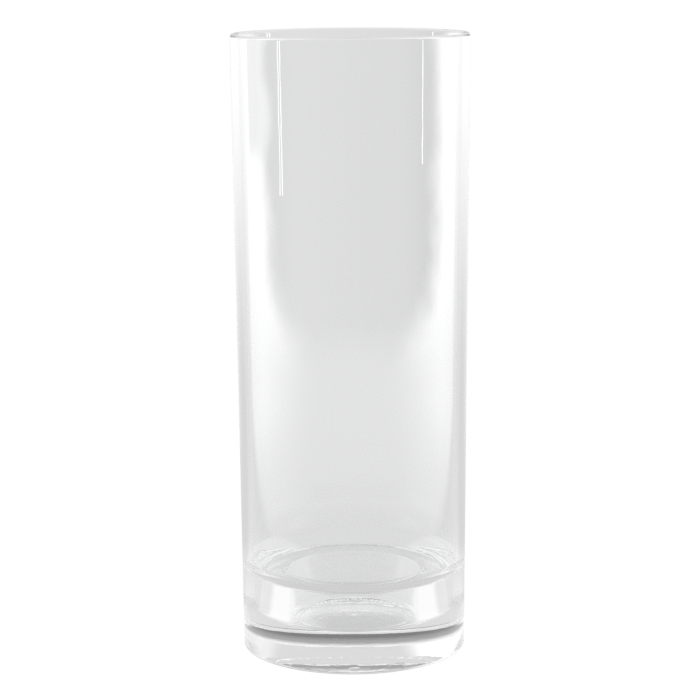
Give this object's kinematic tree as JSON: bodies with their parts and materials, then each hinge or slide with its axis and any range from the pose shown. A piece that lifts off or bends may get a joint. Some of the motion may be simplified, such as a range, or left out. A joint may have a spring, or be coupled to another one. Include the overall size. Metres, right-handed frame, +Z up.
{
  "type": "glass cylinder vase",
  "caption": "Tall clear glass cylinder vase, slightly wider at the rounded lip, with a heavy base around a narrower well.",
  "frame": {"origin": "centre of the foot, on the surface the vase stands on", "axes": "+Z up along the vessel's axis, from the foot to the lip"},
  "size_m": [0.1016, 0.1016, 0.2667],
  "materials": {
    "glass": "clear, smooth, polished soda-lime glass"
  },
  "bodies": {
    "root": {"vessel": "glass"}
  },
  "joints": []
}
